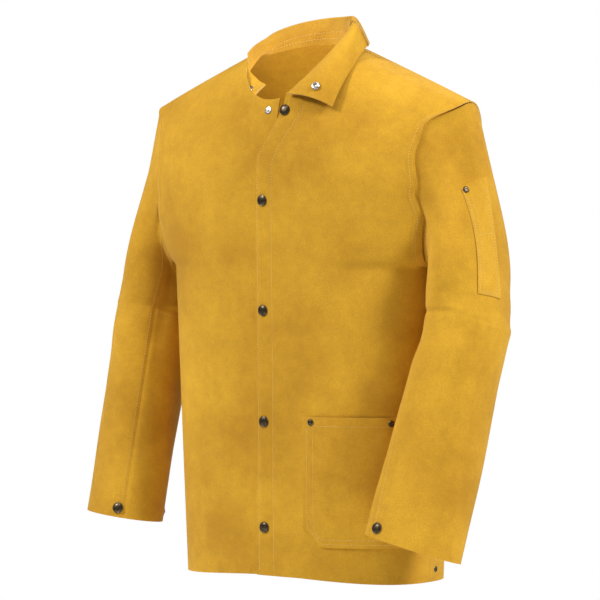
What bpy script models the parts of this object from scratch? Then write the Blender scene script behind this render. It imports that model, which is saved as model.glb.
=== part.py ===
"""Leather welding jacket: split-cowhide panels, two-piece sleeves, stand collar, snaps and rivets.

Metres, +Z up, the front faces -Y and the wearer's left is +X. The origin is between the two
neck points, where the shoulder seams meet the collar, because the jacket hangs from there.
Every leather panel is a grid laid on the jacket's form and given its thickness with Solidify.
"""
import bpy
import bmesh
from math import cos, pi, radians, sin, sqrt
from mathutils import Matrix, Vector

# ---- driving dimensions -------------------------------------------------------------------
LEATHER = 0.0014          # outer panels
FACING = 0.0010           # strips behind the snaps
GAP = 0.0004              # between pieces that lie on each other
HEM_Z = -0.724
ARMPIT_Z = -0.295
SHOULDER_TIP = Vector((0.256, 0.0, -0.074))
NECK_HALF = 0.078         # neck point to centre
NECK_FRONT_Z = -0.070
NECK_BACK_Z = 0.013
NECK_ROUND = 0.03
HEM_RISE = 0.008
CHEST_HALF = 0.211        # half width at the armpit
HEM_HALF = 0.191
FRONT_DEPTH = 0.118
BACK_DEPTH = 0.115
HEM_DEPTH = 0.110
SECTION_POWER = 2.5       # squareness of the body's section
SHOULDER_POWER = 2.3      # roundness of the shoulders, front to back
FRONT_ARCH = 0.20         # height over which the shoulders arch
BACK_ARCH = 0.17
SLEEVE_HEAD = 0.62        # share of the upper sleeve that is its head
SNAP_Z = [-0.085, -0.207, -0.356, -0.507, -0.651]
LAP_LIFT = 0.0060         # the left front lies this far outside the right front
LEFT_EDGE = -0.014        # left front's edge, past the centre line
RIGHT_EDGE = 0.016
FOLD_TOP = 0.062          # the left front folds back here when it is open
FOLD_BOTTOM = 0.056
ROLL_START_Z = -0.165     # above this the left edge rolls open
ROLL_OUT = 0.044
UNDONE_X = 0.032          # where the undone top snap sits on the rolled left edge
SNAP_SLACK = 0.0010       # under snaps on curved leather
TOP_SLACK = 0.0012        # the layers lie looser at the rolled-open top
FOLD_GAP = 0.0008
SEAM_HALF = 0.0008        # half the gap at the side and shoulder seams
COLLAR_HEIGHT = 0.050
COLLAR_BULGE = 0.009      # the folded end arches over the seam
COLLAR_ROLL = 0.010       # length of the turned part of the collar's fold
COLLAR_LEAN = 0.10
COLLAR_LAYER = FACING + 0.0010
COLLAR_SPLIT = 0.50       # along the neckline: the left end begins at the neck point
COLLAR_END = 0.82
STAND_END = 0.70          # the folded end's stand runs out before the left front's fold
COLLAR_RIGHT_END = 0.88
POCKET_LEFT = 0.063
POCKET_RIGHT = 0.187
PATCH_LIFT = 0.0011 + FACING
POCKET_TOP = -0.498
POCKET_BOTTOM = -0.674
ARMHOLE_GAP = 0.0016
ARM_CLEARANCE = 0.0045
SEAM_ANGLE = radians(125) # the two sleeve seams, counted from the outside of the arm
SEAM_STEP = radians(0.9)
ELBOW_GAP = 0.0008
ELBOW_WEDGE = 0.022
PEN_FRONT = radians(49)
PEN_BACK = radians(-2)
CUFF_CAP = radians(117)
CUFF_STUD = radians(212)
CUFF_SNAP_V = 0.955
PEN_TOP = 0.27
PEN_BOTTOM = 0.77
SNAP_SIDES = 12

POSES = {
    "left": {"hand": 1.0, "biceps": Vector((0.262, -0.014, -0.315)),
             "elbow": Vector((0.267, -0.024, -0.374)), "cuff": Vector((0.234, -0.106, -0.668)),
             "opening": Vector((-0.230, -0.198, -0.953)), "cuff_short": 0.046},
    "right": {"hand": -1.0, "biceps": Vector((0.262, 0.004, -0.315)),
              "elbow": Vector((0.270, -0.006, -0.370)), "cuff": Vector((0.274, -0.074, -0.652)),
              "opening": Vector((0.103, -0.109, -0.989)), "cuff_short": 0.053},
}

COLLECTION = "leather_welding_jacket"
CUTTERS = "cutters"


# ---- scene and materials ------------------------------------------------------------------
def clear_scene():
    for old in list(bpy.data.objects):
        bpy.data.objects.remove(old, do_unlink=True)


def collection(name):
    made = bpy.data.collections.new(name)
    bpy.context.scene.collection.children.link(made)
    return made


def material(name, colour, roughness, metallic=0.0):
    made = bpy.data.materials.new(name)
    made.use_nodes = True
    shader = made.node_tree.nodes["Principled BSDF"]
    shader.inputs["Base Color"].default_value = (*colour, 1.0)
    shader.inputs["Roughness"].default_value = roughness
    shader.inputs["Metallic"].default_value = metallic
    return made


def leather(name, shade=1.0):
    return material(name, (0.62 * shade, 0.36 * shade, 0.045 * shade), 0.9)


def brass(name):
    return material(name, (0.10, 0.075, 0.05), 0.4, 1.0)


def nickel(name):
    return material(name, (0.55, 0.53, 0.50), 0.3, 1.0)


# ---- the jacket's form --------------------------------------------------------------------
def mix(a, b, t):
    return a + (b - a) * t


def smooth(t):
    t = min(1.0, max(0.0, t))
    return t * t * (3.0 - 2.0 * t)


def along(points, t):
    """Value at t on a smooth line through (t, value) pairs."""
    for (t0, a), (t1, b) in zip(points, points[1:]):
        if t <= t1:
            return mix(a, b, smooth((t - t0) / (t1 - t0)))
    return points[-1][1]


def edge_x(z):
    """Side seam below the armpit, armhole edge above it."""
    if z <= ARMPIT_Z:
        return mix(HEM_HALF, CHEST_HALF, (z - HEM_Z) / (ARMPIT_Z - HEM_Z))
    rise = min(1.0, (z - ARMPIT_Z) / (SHOULDER_TIP.z - ARMPIT_Z))
    return mix(CHEST_HALF, SHOULDER_TIP.x, rise)


def section_half(z):
    """Half width of the closed body section, wider than the armhole edge above the armpit."""
    if z <= ARMPIT_Z:
        return edge_x(z)
    rise = min(1.0, (z - ARMPIT_Z) / (SHOULDER_TIP.z - ARMPIT_Z))
    return CHEST_HALF + 0.062 * rise ** 0.55


def ridge_z(x):
    """Height of the shoulder line, rounded over between the neck points."""
    slope = -SHOULDER_TIP.z / (SHOULDER_TIP.x - NECK_HALF)
    if abs(x) >= NECK_HALF:
        return -slope * (abs(x) - NECK_HALF)
    return slope * (sqrt(NECK_HALF ** 2 + NECK_ROUND ** 2) - sqrt(x * x + NECK_ROUND ** 2))


def body_y(x, z, side):
    """Depth of the body's surface: side -1 is the front and +1 the back."""
    half = section_half(z)
    across = min(1.0, abs(x) / half)
    rise = min(1.0, (z - HEM_Z) / (-0.15 - HEM_Z))
    full = mix(HEM_DEPTH, FRONT_DEPTH, rise) if side < 0 else BACK_DEPTH
    depth = full * (1.0 - across ** SECTION_POWER) ** (1.0 / SECTION_POWER)
    arch = FRONT_ARCH if side < 0 else BACK_ARCH
    t = min(1.0, max(0.0, (ridge_z(x) - z) / arch))
    curve = 1.0 - (1.0 - t) ** SHOULDER_POWER
    return side * depth * curve ** (1.0 / SHOULDER_POWER)


def top_z(x, side):
    """Upper edge of a panel: shoulder seam, then neckline."""
    x = abs(x)
    if x >= NECK_HALF:
        return ridge_z(x)
    low = NECK_FRONT_Z if side < 0 else NECK_BACK_Z
    return mix(low, 0.0, (x / NECK_HALF) ** 2.2)


def hem_z(x):
    """The hem is a little shorter at the front opening than at the side seams."""
    return HEM_Z + HEM_RISE * (1.0 - smooth(abs(x) / SHOULDER_TIP.x))


def rows_up(v):
    """Rows of a panel get closer towards the shoulder."""
    return 1.0 - (1.0 - v) ** 1.4


def across_top(u, start, neck_share):
    """x on the top edge: neck_share of the columns up to the neck point, the rest closing up
    towards the side, where the body turns fastest."""
    if u < neck_share:
        return mix(start, NECK_HALF, u / neck_share)
    beyond = (u - neck_share) / (1.0 - neck_share)
    return mix(NECK_HALF, SHOULDER_TIP.x, 1.0 - (1.0 - beyond) ** 1.7)


def surface_point(x_top, v, side, top_start, start):
    """A point of a panel whose column meets the top edge at x_top."""
    z = mix(hem_z(x_top) if side < 0 else HEM_Z, top_z(x_top, side), rows_up(v))
    share = (x_top - top_start) / (SHOULDER_TIP.x - top_start)
    x = mix(start(z), edge_x(z), share)
    return Vector((x, body_y(x, z, side), z))


# ---- making pieces ------------------------------------------------------------------------
def grid(name, columns, rows, form, thickness, coat, flip=False):
    """A grid of unit size laid on form(u, v), closed by Solidify."""
    shape = bmesh.new()
    bmesh.ops.create_grid(shape, x_segments=columns, y_segments=rows, size=0.5)
    for vert in shape.verts:
        vert.co = form(vert.co.x + 0.5, vert.co.y + 0.5)
    if flip:
        bmesh.ops.reverse_faces(shape, faces=shape.faces)
    mesh = bpy.data.meshes.new(name)
    shape.to_mesh(mesh)
    shape.free()
    mesh.materials.append(coat)
    made = bpy.data.objects.new(name, mesh)
    bpy.data.collections[COLLECTION].objects.link(made)
    wall = made.modifiers.new("thickness", "SOLIDIFY")
    wall.thickness = thickness
    wall.offset = -1.0
    return made


def offset_form(form, distance):
    """The form moved along its own normal, outwards where distance is positive."""
    step = 1e-3

    def moved(u, v):
        u0, u1 = max(0.0, u - step), min(1.0, u + step)
        v0, v1 = max(0.0, v - step), min(1.0, v + step)
        across = form(u1, v) - form(u0, v)
        up = form(u, v1) - form(u, v0)
        normal = across.cross(up).normalized()
        return form(u, v) + normal * distance
    return moved


def frame_at(point, normal):
    """A matrix whose Z axis is the normal."""
    turn = Vector((0.0, 0.0, 1.0)).rotation_difference(normal.normalized())
    return Matrix.Translation(point) @ turn.to_matrix().to_4x4()


def turned(name, profile, place, coat):
    """A turned piece: (radius, height) pairs from top to bottom on the +X side."""
    shape = bmesh.new()
    verts = [shape.verts.new((radius, 0.0, height)) for radius, height in profile]
    for a, b in zip(verts, verts[1:]):
        shape.edges.new((a, b))
    mesh = bpy.data.meshes.new(name)
    shape.to_mesh(mesh)
    shape.free()
    mesh.materials.append(coat)
    made = bpy.data.objects.new(name, mesh)
    bpy.data.collections[COLLECTION].objects.link(made)
    made.matrix_world = place
    spin = made.modifiers.new("turn", "SCREW")
    spin.steps = SNAP_SIDES
    spin.render_steps = SNAP_SIDES
    spin.use_merge_vertices = True
    spin.merge_threshold = 0.00001
    return made


def drill(panels, place, radius, depth=0.02):
    """A round hole through each panel."""
    shape = bmesh.new()
    bmesh.ops.create_cone(shape, cap_ends=True, segments=10, radius1=radius, radius2=radius,
                          depth=depth)
    mesh = bpy.data.meshes.new("hole")
    shape.to_mesh(mesh)
    shape.free()
    cutter = bpy.data.objects.new("hole", mesh)
    bpy.data.collections[CUTTERS].objects.link(cutter)
    cutter.matrix_world = place
    cutter.hide_render = True
    cutter.display_type = "WIRE"
    for panel in panels:
        cut = panel.modifiers.new("hole", "BOOLEAN")
        cut.operation = "DIFFERENCE"
        cut.object = cutter


# ---- snaps and rivets ---------------------------------------------------------------------
CAP_RADIUS = 0.0075
SHANK = 0.0015
HOLE = 0.0021


def cap(name, place, stack):
    """Domed cap with its shank; stack is the leather under it."""
    profile = [(0.0, 0.0030), (0.0040, 0.0027), (0.0066, 0.0018), (CAP_RADIUS, 0.0008),
               (CAP_RADIUS, GAP), (SHANK, GAP), (SHANK, -stack - 0.0001), (0.0, -stack - 0.0001)]
    return turned(name, profile, place, brass(name))


def socket(name, place, stack):
    """Ring that grips the stud, under the leather."""
    top = -stack - GAP
    profile = [(0.0, top), (0.0055, top), (0.0055, top - 0.0012), (0.0048, top - 0.0016),
               (0.0025, top - 0.0016), (0.0025, top - 0.0004), (0.0, top - 0.0004)]
    return turned(name, profile, place, nickel(name))


def stud(name, place):
    """Knob on a flat base, on the under lap's outer face."""
    profile = [(0.0, 0.0017), (0.0015, 0.0016), (0.0020, 0.0013), (0.0016, 0.0008),
               (0.0050, 0.0007), (0.0050, GAP), (0.0, GAP)]
    return turned(name, profile, place, nickel(name))


def post(name, place, stack):
    """Flanged post that holds the stud from behind."""
    low = -stack - GAP
    profile = [(0.0, 0.0), (SHANK, 0.0), (SHANK, low), (0.0050, low), (0.0050, low - 0.0008),
               (0.0, low - 0.0008)]
    return turned(name, profile, place, nickel(name))


def rivet(name, place, stack):
    """Rivet: small domed head, shank and burr in one."""
    low = -stack - GAP
    profile = [(0.0, 0.0018), (0.0028, 0.0014), (0.0045, 0.0004 + GAP), (0.0045, GAP),
               (SHANK, GAP), (SHANK, low), (0.0040, low), (0.0040, low - 0.0007),
               (0.0, low - 0.0007)]
    return turned(name, profile, place, brass(name))


# ---- torso --------------------------------------------------------------------------------
def left_start(z):
    """Edge of the left front: straight up to the roll, then swung open."""
    return LEFT_EDGE + ROLL_OUT * smooth((z - ROLL_START_Z) / (NECK_FRONT_Z - ROLL_START_Z))


def fold_x(z):
    return mix(FOLD_BOTTOM, FOLD_TOP, (z - HEM_Z) / (NECK_FRONT_Z - HEM_Z))


def lap_lift(x, z):
    """How far the left front stands forward of the form."""
    near = 1.0 - smooth((x - 0.07) / 0.09)
    roll = smooth((z - ROLL_START_Z) / (NECK_FRONT_Z - ROLL_START_Z))
    edge = 1.0 - smooth((x - left_start(z)) / 0.05)
    return LAP_LIFT * near + 0.003 * roll * edge


def left_surface(x, z):
    return Vector((x, body_y(x, z, -1) - lap_lift(x, z) - SEAM_HALF, z))


def right_surface(x, z):
    return Vector((x, body_y(x, z, -1) - SEAM_HALF, z))


def back_surface(x, z):
    return Vector((x, body_y(x, z, 1) + SEAM_HALF, z))


def flap_point(u, v):
    """Left front between its edge and the fold line."""
    top_x = mix(left_start(NECK_FRONT_Z), FOLD_TOP, u)
    z = mix(hem_z(top_x), top_z(top_x, -1), rows_up(v))
    x = mix(left_start(z), fold_x(z) - FOLD_GAP, u)
    return left_surface(x, z)


def left_point(u, v):
    """Left front from the fold line to the side seam and armhole."""
    x_top = across_top(u, FOLD_TOP, 0.25)
    place = surface_point(x_top, v, -1, FOLD_TOP, lambda z: fold_x(z) + FOLD_GAP)
    return left_surface(place.x, place.z)


def right_point(u, v):
    """Right front from the lap to the side."""
    x_top = across_top(u, -RIGHT_EDGE, 0.45)
    place = surface_point(x_top, v, -1, -RIGHT_EDGE, lambda z: -RIGHT_EDGE)
    return right_surface(-place.x, place.z)


def back_point(u, v):
    half = abs(2.0 * u - 1.0)
    place = surface_point(across_top(half, 0.0, 0.4), v, 1, 0.0, lambda z: 0.0)
    return back_surface(place.x if u > 0.5 else -place.x, place.z)


def facing_form(form, u0, u1, depth):
    """A strip behind part of a panel, on the same rows."""
    return offset_form(lambda u, v: form(mix(u0, u1, u), mix(0.004, 0.985, v)), depth)


def torso():
    made = {}
    made["back"] = grid("back_panel", 20, 14, back_point, LEATHER, leather("back_panel", 0.92), True)
    made["right"] = grid("right_front_panel", 11, 14, right_point, LEATHER,
                         leather("right_front_panel"), True)
    made["left"] = grid("left_front_panel", 8, 14, left_point, LEATHER,
                        leather("left_front_panel", 1.02))
    made["flap"] = grid("left_front_placket", 6, 14, flap_point, LEATHER,
                        leather("left_front_placket", 1.05))
    behind = LEATHER + 2 * GAP
    made["left_facing"] = grid("left_placket_facing", 3, 14,
                               facing_form(flap_point, 0.01, 0.5, -behind), FACING,
                               leather("left_placket_facing", 0.8))
    made["right_facing"] = grid("right_placket_facing", 2, 14,
                                facing_form(right_point, 0.01, 0.16, behind), FACING,
                                leather("right_placket_facing", 0.8), True)
    return made


def hip_pocket_point(u, v):
    """Patch on the left front, with one cut-off lower corner."""
    x = mix(POCKET_LEFT, POCKET_RIGHT, u ** 0.8)
    low = mix(POCKET_BOTTOM + 0.022, POCKET_BOTTOM, smooth(u / 0.16))
    return left_surface(x, mix(low, POCKET_TOP, v))


def hip_pocket():
    return grid("hip_pocket", 10, 6, offset_form(hip_pocket_point, PATCH_LIFT), FACING,
                leather("hip_pocket", 0.97))


# ---- collar -------------------------------------------------------------------------------
def neck_point(a):
    """Neckline: a is 0 at the back, +-0.5 at the neck points and +-1 at the front."""
    x = NECK_HALF * sin(pi * a)
    side = 1 if abs(a) < 0.5 else -1
    z = top_z(x, side)
    forward = lap_lift(x, z) if x > 0.0 and side < 0 else 0.0
    return Vector((x, body_y(x, z, side) - forward, z))


def collar_out(a):
    """Unit direction away from the neck, level."""
    return Vector((sin(pi * a), cos(pi * a), 0.0))


def fold_height(a):
    """Height of the collar's fold above the neckline."""
    return along([(-1.0, 0.012), (-0.60, 0.011), (-0.45, 0.016), (-0.20, 0.026), (1.0, 0.027)], a)


def fold_turn(a):
    """How far the collar turns outwards at its fold: the right end almost stands."""
    turns = [(-1.0, 10), (-0.86, 12), (-0.70, 80), (-0.50, 110), (-0.30, 120), (0.30, 122),
             (0.50, 110)]
    return radians(along(turns, a))


def collar_length(a):
    """Full width of the collar, from the neckline over the fold to its edge."""
    widths = [(-1.0, COLLAR_HEIGHT), (-0.86, COLLAR_HEIGHT), (-0.72, 0.030), (-0.50, 0.030),
              (-0.15, 0.040), (1.0, 0.044)]
    return along(widths, a)


def collar_height(a, v):
    """Rows up the collar, closest in the fold."""
    fold = fold_height(a)
    heights = (0.0, fold, fold + COLLAR_ROLL, collar_length(a))
    for k, (v0, v1) in enumerate(((0.0, 0.25), (0.25, 0.625), (0.625, 1.0))):
        if v <= v1:
            return mix(heights[k], heights[k + 1], (v - v0) / (v1 - v0))
    return heights[-1]


def collar_point(a, height):
    """Collar that turns down outwards at its fold."""
    turn = fold_turn(a)
    fold = fold_height(a)
    out = collar_out(a)
    low = smooth((-a - 0.60) / 0.18)
    base = neck_point(a) + out * mix(0.001, 0.0105, low)
    base.z += mix(0.0016, -0.009, low)
    straight_up = min(height, fold)
    point = base + (out * COLLAR_LEAN + Vector((0.0, 0.0, 1.0))) * straight_up
    rolled = min(max(0.0, height - fold), COLLAR_ROLL)
    fallen = max(0.0, height - fold - COLLAR_ROLL)
    radius = COLLAR_ROLL / turn
    angle = rolled / radius
    point += out * radius * (1.0 - cos(angle)) + Vector((0.0, 0.0, radius * sin(angle)))
    return point + out * fallen * sin(turn) + Vector((0.0, 0.0, fallen * cos(turn)))


def collar_band(u, v):
    a = mix(-COLLAR_RIGHT_END, COLLAR_SPLIT - 0.006, u)
    return collar_point(a, collar_height(a, v))


def ridge_point(a):
    """Line along which the left collar end folds out."""
    height = mix(0.030, 0.004, smooth((a - COLLAR_SPLIT) / (COLLAR_END - COLLAR_SPLIT)))
    return neck_point(a) + Vector((0.0, 0.0, height)) + collar_out(a) * (height * 0.1 + 0.003)


def flap_edge(t):
    """Outer edge of the folded-out collar end, just above the shoulder and chest."""
    x = mix(0.109, 0.102, t)
    z = mix(0.000, -0.084, t)
    lift = mix(0.012, 0.0150, t)
    place = left_surface(x, z)
    if z > ridge_z(x):
        place.y = 0.0
    return place + Vector((0.0, -lift, 0.002))


def collar_end_point(u, v):
    """u runs from the shoulder to the front end, v from the fold to the outer edge."""
    a = mix(COLLAR_SPLIT, COLLAR_END, u)
    inner = ridge_point(a)
    outer = flap_edge(u)
    bulge = COLLAR_BULGE * sin(pi * v)
    return inner.lerp(outer, v) + Vector((0.35, -0.7, 0.6)).normalized() * bulge


def collar():
    made = {}

    def stand(u, v):
        a = mix(COLLAR_SPLIT + 0.002, STAND_END, u)
        low = neck_point(a) + Vector((0.0, 0.0, 0.0012))
        return low.lerp(ridge_point(a), mix(0.0, 0.80, v))

    made["outer"] = grid("collar_outer", 22, 8, collar_band, FACING, leather("collar_outer", 1.05), True)
    made["inner"] = grid("collar_inner", 22, 8, offset_form(collar_band, COLLAR_LAYER), FACING,
                         leather("collar_inner", 1.0), True)
    made["stand"] = grid("collar_left_stand", 6, 2, stand, FACING,
                         leather("collar_left_stand", 1.0), True)
    made["end_inner"] = grid("collar_left_end_inner", 7, 4, collar_end_point, FACING,
                             leather("collar_left_end_inner", 1.1))
    made["end_outer"] = grid("collar_left_end_outer", 7, 4,
                             offset_form(collar_end_point, -COLLAR_LAYER), FACING,
                             leather("collar_left_end_outer", 1.0))
    return made


# ---- sleeves ------------------------------------------------------------------------------
def armhole_point(theta):
    """theta is 0 at the shoulder tip, 90 degrees at the front and 180 at the armpit."""
    z = mix(SHOULDER_TIP.z, ARMPIT_Z, (1.0 - cos(theta)) / 2.0)
    side = -1 if sin(theta) > 0.0 else 1
    x = edge_x(z)
    return Vector((x + ARMHOLE_GAP, body_y(x, z, side), z))


def ring_radius(theta, long, short, turn):
    c, s = cos(theta - turn), sin(theta - turn)
    return 1.0 / sqrt((c / long) ** 2 + (s / short) ** 2)


def sleeve_ring(pose, share, theta):
    """Ring of the sleeve tube: share is 0 at the biceps, 1 at the elbow and 2 at the cuff."""
    biceps, elbow, cuff = pose["biceps"], pose["elbow"], pose["cuff"]
    if share <= 1.0:
        centre = biceps.lerp(elbow, share)
        down = (elbow - biceps).normalized().lerp((cuff - biceps).normalized(), share)
    else:
        centre = elbow.lerp(cuff, share - 1.0)
        down = (cuff - biceps).normalized().lerp(pose["opening"], smooth(share - 1.0))
    down.normalize()
    front = Vector((0.0, -1.0, 0.0))
    front = (front - down * front.dot(down)).normalized()
    out = down.cross(front)
    if out.x < 0.0:
        out.negate()
    long = along([(0.0, 0.074), (1.0, 0.067), (2.0, 0.067)], share)
    short = along([(0.0, 0.047), (1.0, 0.053), (2.0, pose["cuff_short"])], share)
    turn = along([(0.0, pi / 2), (1.0, radians(97)), (2.0, radians(140))], share)
    radius = ring_radius(theta, long, short, turn)
    return centre + out * (radius * cos(theta)) + front * (radius * sin(theta))


def clear_of_body(point):
    """Where the arm lies against the body, the leather stays outside the side of it."""
    depth = FRONT_DEPTH if point.y < 0.0 else BACK_DEPTH
    across = min(1.0, abs(point.y) / depth)
    section = (1.0 - across ** SECTION_POWER) ** (1.0 / SECTION_POWER)
    body = edge_x(min(point.z, ARMPIT_Z)) * section
    upper = smooth((point.z + 0.50) / 0.10)
    least = max(body, mix(0.0, CHEST_HALF + 0.001, upper)) + ARM_CLEARANCE
    if point.z < ARMPIT_Z and point.x < least:
        point.x = least
    return point


def upper_point(pose, theta, t):
    """Sleeve head from the armhole into the tube: t is 0 at the armhole and 1 at the elbow."""
    if t >= SLEEVE_HEAD:
        return sleeve_ring(pose, (t - SLEEVE_HEAD) / (1.0 - SLEEVE_HEAD), theta)
    t = t / SLEEVE_HEAD
    start = armhole_point(theta)
    finish = sleeve_ring(pose, 0.0, theta)
    later = sleeve_ring(pose, 0.12, theta)
    span = (finish - start).length
    high = (1.0 + cos(theta)) / 2.0
    leave = Vector((mix(0.25, 0.22, high), 0.0, mix(-0.95, -0.97, high))).normalized()
    arrive = (later - finish).normalized()
    c1 = start + leave * span * 0.33
    c2 = finish - arrive * span * 0.36
    s = 1.0 - t
    return start * s ** 3 + c1 * (3 * s * s * t) + c2 * (3 * s * t * t) + finish * t ** 3


def elbow_cut(point, theta, share, toward):
    """Shortens the front of a sleeve half near the elbow, so that the forearm can bend."""
    front = max(0.0, sin(theta))
    return point + Vector((0.0, 0.0, toward * share * (ELBOW_GAP + ELBOW_WEDGE * front)))


def sleeve(side):
    pose = POSES[side]
    hand = pose["hand"]

    def placed(point):
        return Vector((hand * point.x, point.y, point.z))

    def upper(first, last):
        def form(u, v):
            theta = mix(first, last, u)
            near = smooth((v - 0.7) / 0.3)
            point = clear_of_body(upper_point(pose, theta, v))
            return placed(elbow_cut(point, theta, near, 1.0))
        return form

    def lower(first, last):
        def form(u, v):
            theta = mix(first, last, u)
            near = smooth((0.35 - v) / 0.35)
            point = clear_of_body(sleeve_ring(pose, 1.0 + v, theta))
            return placed(elbow_cut(point, theta, near, -1.0))
        return form

    made = {}
    top = (-SEAM_ANGLE, SEAM_ANGLE)
    under = (SEAM_ANGLE + SEAM_STEP, 2 * pi - SEAM_ANGLE - SEAM_STEP)
    turned_in = hand < 0
    for name, columns, range_, shade in (("top_sleeve", 14, top, 1.0), ("under_sleeve", 6, under, 0.9)):
        for half, rows, form in (("upper", 10, upper), ("lower", 6, lower)):
            piece = f"{side}_{name}_{half}"
            made[f"{name}_{half}"] = grid(piece, columns, rows, form(*range_), LEATHER,
                                          leather(piece, shade), turned_in)
    made["upper_form"] = upper
    made["lower_form"] = lower
    return made


def pen_pocket_form(upper):
    """Narrow patch on the outside of the left upper sleeve."""
    form = upper(PEN_FRONT, PEN_BACK)
    return offset_form(lambda u, v: form(u, mix(PEN_TOP, PEN_BOTTOM, v)), -PATCH_LIFT)


def pen_pocket(upper):
    return grid("pen_pocket", 6, 10, pen_pocket_form(upper), FACING, leather("pen_pocket", 0.97),
                True)


# ---- placing hardware ---------------------------------------------------------------------
def place_on(surface, a, b, outward, step=0.003):
    """Frame on surface(a, b), Z along the normal that points the outward way."""
    across = surface(a + step, b) - surface(a - step, b)
    up = surface(a, b + step) - surface(a, b - step)
    normal = across.cross(up).normalized()
    if normal.dot(outward) < 0.0:
        normal.negate()
    return frame_at(surface(a, b), normal)


def front_snaps(made):
    forward = Vector((0.0, -1.0, 0.0))
    for number, z in enumerate(SNAP_Z, 1):
        name = f"front_snap_{number}"
        x = UNDONE_X if number == 1 else 0.0
        stack = LEATHER + 2 * GAP + FACING + (TOP_SLACK if number == 1 else 0.0)
        over = place_on(left_surface, x, z, forward)
        cap(f"{name}_cap", over, stack)
        socket(f"{name}_socket", over, stack)
        drill([made["flap"], made["left_facing"]], over, HOLE)
        under = place_on(right_surface, 0.0, z, forward)
        stud(f"{name}_stud", under)
        post(f"{name}_post", under, stack)
        drill([made["right"], made["right_facing"]], under, HOLE)


def collar_snap(made):
    """Cap and socket on the folded-out left end, stud and post on the right end."""
    stack = FACING + COLLAR_LAYER + 2 * SNAP_SLACK
    below = offset_form(collar_end_point, -COLLAR_LAYER - FACING - 1.4 * SNAP_SLACK)
    over = place_on(below, 0.80, 0.50, Vector((0.0, 1.0, -0.5)))
    cap("collar_snap_cap", over, stack)
    socket("collar_snap_socket", over, stack)
    drill([made["end_inner"], made["end_outer"]], over, HOLE)
    outside = offset_form(collar_band, -SNAP_SLACK)
    under = place_on(outside, 0.04, 0.70, Vector((-1.0, -0.2, 0.0)))
    stud("collar_snap_stud", under)
    post("collar_snap_post", under, stack)
    drill([made["outer"], made["inner"]], under, HOLE)


def cuff_snap(side, made):
    """Cap and socket beside the front seam, stud and post on the under sleeve."""
    hand = POSES[side]["hand"]
    form = made["lower_form"](0.0, 2.0 * pi)
    for kind, angle, panel in (("cap", CUFF_CAP, "top_sleeve_lower"),
                               ("stud", CUFF_STUD, "under_sleeve_lower")):
        outward = Vector((hand * cos(angle), -sin(angle), 0.0))
        place = place_on(form, angle / (2.0 * pi), CUFF_SNAP_V, outward)
        if kind == "cap":
            cap(f"{side}_cuff_snap_cap", place, LEATHER + SNAP_SLACK)
            socket(f"{side}_cuff_snap_socket", place, LEATHER + SNAP_SLACK)
        else:
            stud(f"{side}_cuff_snap_stud", place)
            post(f"{side}_cuff_snap_post", place, LEATHER + SNAP_SLACK)
        drill([made[panel]], place, HOLE)


def rivets(panels, pocket, left, pen):
    forward = Vector((0.0, -1.0, 0.0))
    stack = PATCH_LIFT + LEATHER + SNAP_SLACK
    on_pocket = offset_form(hip_pocket_point, PATCH_LIFT)
    for name, u in (("front", 0.06), ("side", 0.955)):
        place = place_on(on_pocket, u, 0.955, forward)
        rivet(f"hip_pocket_rivet_{name}", place, stack)
        drill([pocket, panels["left"]], place, HOLE)
    place = place_on(pen_pocket_form(left["upper_form"]), 0.10, 0.030, Vector((1.0, -0.5, 0.0)))
    rivet("pen_pocket_rivet", place, stack)
    drill([pen, left["top_sleeve_upper"]], place, HOLE)
    for name, u0, u1, hand in (("left", 1.0, 0.95, 1.0), ("right", 0.0, 0.05, -1.0)):
        v = 0.018
        middle = (back_point(u0, v) + back_point(u1, v)) / 2.0
        along_hem = back_point(u1, v) - back_point(u0, v)
        normal = along_hem.cross(Vector((0.0, 0.0, 1.0))).normalized()
        if normal.x * hand < 0.0:
            normal.negate()
        place = frame_at(middle, normal)
        rivet(f"{name}_hem_rivet", place, LEATHER)
        drill([panels["back"]], place, HOLE)


def main():
    clear_scene()
    collection(COLLECTION)
    collection(CUTTERS).hide_render = True
    panels = torso()
    front_snaps(panels)
    collar_snap(collar())
    left = sleeve("left")
    right = sleeve("right")
    cuff_snap("left", left)
    cuff_snap("right", right)
    rivets(panels, hip_pocket(), left, pen_pocket(left["upper_form"]))


main()
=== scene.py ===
# %% [markdown]
# # A leather welding jacket
#
# The real jacket is cut from golden split cowhide, a thick leather that is suede on both sides.
# Flat panels are sewn into a hanging body, two sleeves and a collar, and the front closes with
# snaps. This lesson lays each panel as a fine grid on the jacket's form, gives it the thickness
# of the hide, and then adds seams, stitches and metal.

# %% Load the frame
import bpy
import bmesh
from math import cos, exp, pi, radians, sin, sqrt
from mathutils import Matrix, Vector, noise


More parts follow.
